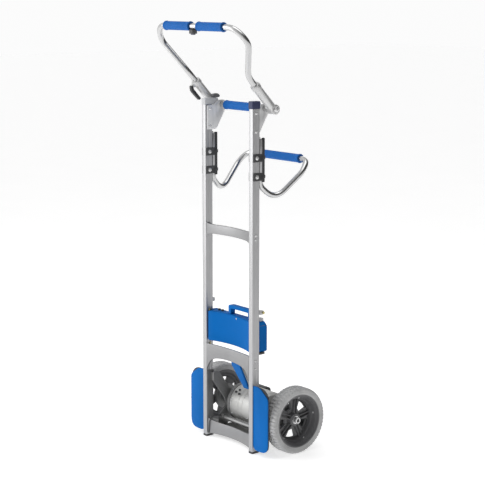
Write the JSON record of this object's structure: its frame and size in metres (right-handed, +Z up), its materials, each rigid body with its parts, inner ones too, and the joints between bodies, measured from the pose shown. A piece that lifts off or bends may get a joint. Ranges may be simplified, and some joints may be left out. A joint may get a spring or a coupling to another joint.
{
  "type": "powered stair-climbing hand truck",
  "caption": "Tall aluminium hand truck with a tilting blue-grip handle, rear lift handle, lift-off battery, and a gear drive that turns climbing arms between its wheels.",
  "frame": {"origin": "on the floor, under the middle of the whole truck", "axes": "+X to the right as seen from the load side, +Y to the back where the user stands, +Z up"},
  "size_m": [0.5388, 0.438, 1.646],
  "materials": {
    "aluminium": "anodised extrusion and tube, fine lengthwise brushing",
    "cast_aluminium": "bead-blasted casting, slightly rougher than the tubes",
    "steel": "zinc-plated turned steel",
    "blue_plastic": "moulded satin plastic with a fine grain",
    "blue_grip": "soft matt grip sleeve",
    "black_plastic": "moulded satin plastic",
    "navy_plastic": "moulded satin plastic",
    "rim_plastic": "glass-filled moulded plastic, matt",
    "tyre_rubber": "grey non-marking rubber with fine cross grooves",
    "grey_plastic": "moulded satin plastic"
  },
  "bodies": {
    "frame": {"upright_left": "aluminium", "upright_right": "aluminium", "upper_crossbar": "aluminium", "lower_crossbar": "aluminium", "base_plate": "aluminium", "handle_bracket_left": "aluminium", "handle_bracket_right": "aluminium", "cross_tube": "aluminium", "lower_handle_tube": "aluminium", "tie_tube": "aluminium", "axle_plate_left": "cast_aluminium", "axle_plate_right": "cast_aluminium", "gear_housing": "cast_aluminium", "gear_end_cover": "cast_aluminium", "drive_mount": "cast_aluminium", "axle": "steel", "axle_bearing_left": "steel", "axle_bearing_right": "steel", "wheel_nut_left": "steel", "wheel_nut_right": "steel", "wheel_guard_left": "blue_plastic", "wheel_guard_right": "blue_plastic", "drive_bracket": "blue_plastic", "cross_grip": "blue_grip", "lower_handle_grip": "blue_grip", "foot_cap_left": "black_plastic", "foot_cap_right": "black_plastic", "handle_clamp_upper_left": "black_plastic", "handle_clamp_upper_right": "black_plastic", "handle_clamp_lower_left": "black_plastic", "handle_clamp_lower_right": "black_plastic", "guard_liner_left": "black_plastic", "guard_liner_right": "black_plastic", "motor_cover": "black_plastic", "battery_dock": "black_plastic", "control_box": "navy_plastic", "top_clamp": "grey_plastic"},
    "battery": {"battery_case": "blue_plastic", "battery_handle": "blue_plastic", "battery_knob_left": "black_plastic", "battery_knob_right": "black_plastic", "charging_socket": "grey_plastic"},
    "wheel_left": {"tyre_left": "tyre_rubber", "rim_left": "rim_plastic"},
    "wheel_right": {"tyre_right": "tyre_rubber", "rim_right": "rim_plastic"},
    "climbing_arm_left": {"climbing_arm_left": "cast_aluminium"},
    "climbing_arm_right": {"climbing_arm_right": "cast_aluminium"},
    "arm_roller_left": {"arm_roller_left": "black_plastic"},
    "arm_roller_right": {"arm_roller_right": "black_plastic"},
    "upper_handle": {"handle_socket_left": "aluminium", "handle_socket_right": "aluminium", "upper_handle_tube": "aluminium", "upper_grip_left": "blue_grip", "upper_grip_right": "blue_grip", "switch_housing": "black_plastic"},
    "switch_trigger": {"switch_trigger": "navy_plastic"},
    "release_lever": {"release_lever": "black_plastic"},
    "lock_pawl": {"lock_pawl": "rim_plastic"}
  },
  "joints": [
    {"name": "wheel_left_spin", "type": "hinge", "parent": "frame", "child": "wheel_left", "pos_m": [-0.234, 0.089, 0.13], "axis": [1, 0, 0], "continuous": true},
    {"name": "wheel_right_spin", "type": "hinge", "parent": "frame", "child": "wheel_right", "pos_m": [0.234, 0.089, 0.13], "axis": [1, 0, 0], "continuous": true},
    {"name": "climbing_arm_left_drive", "type": "hinge", "parent": "frame", "child": "climbing_arm_left", "pos_m": [-0.17, 0.089, 0.13], "axis": [1, 0, 0], "continuous": true},
    {"name": "climbing_arm_right_drive", "type": "hinge", "parent": "frame", "child": "climbing_arm_right", "pos_m": [0.17, 0.089, 0.13], "axis": [1, 0, 0], "continuous": true},
    {"name": "arm_roller_left_spin", "type": "hinge", "parent": "climbing_arm_left", "child": "arm_roller_left", "pos_m": [-0.186, 0.1814, 0.0869], "axis": [1, 0, 0], "continuous": true},
    {"name": "arm_roller_right_spin", "type": "hinge", "parent": "climbing_arm_right", "child": "arm_roller_right", "pos_m": [0.186, 0.1814, 0.0869], "axis": [1, 0, 0], "continuous": true},
    {"name": "upper_handle_tilt", "type": "hinge", "parent": "frame", "child": "upper_handle", "pos_m": [0, 0.021, 1.324], "axis": [-1, 0, 0], "range_deg": [0, 70]},
    {"name": "release_lever_squeeze", "type": "hinge", "parent": "upper_handle", "child": "release_lever", "pos_m": [-0.179, -0.0871, 1.3922], "axis": [1, 0, 0], "range_deg": [0, 10], "stiffness_Nm_per_rad": 1, "springref_deg": -8.59},
    {"name": "lock_pawl_lift", "type": "hinge", "parent": "frame", "child": "lock_pawl", "pos_m": [-0.1443, -0.009, 1.36], "axis": [1, 0, 0], "range_deg": [0, 15]},
    {"name": "drive_trigger_press", "type": "slide", "parent": "upper_handle", "child": "switch_trigger", "axis": [0, 0, 1], "range_m": [0, 0.004], "stiffness_N_per_m": 400, "springref_m": -0.003},
    {"name": "battery_lift_off", "type": "slide", "parent": "frame", "child": "battery", "axis": [0, 0, 1], "range_m": [0, 0.2]}
  ],
  "couplings": [
    {"joint": "climbing_arm_right_drive", "follows": "climbing_arm_left_drive", "ratio": 1},
    {"joint": "lock_pawl_lift", "follows": "release_lever_squeeze", "ratio": 1.5}
  ]
}
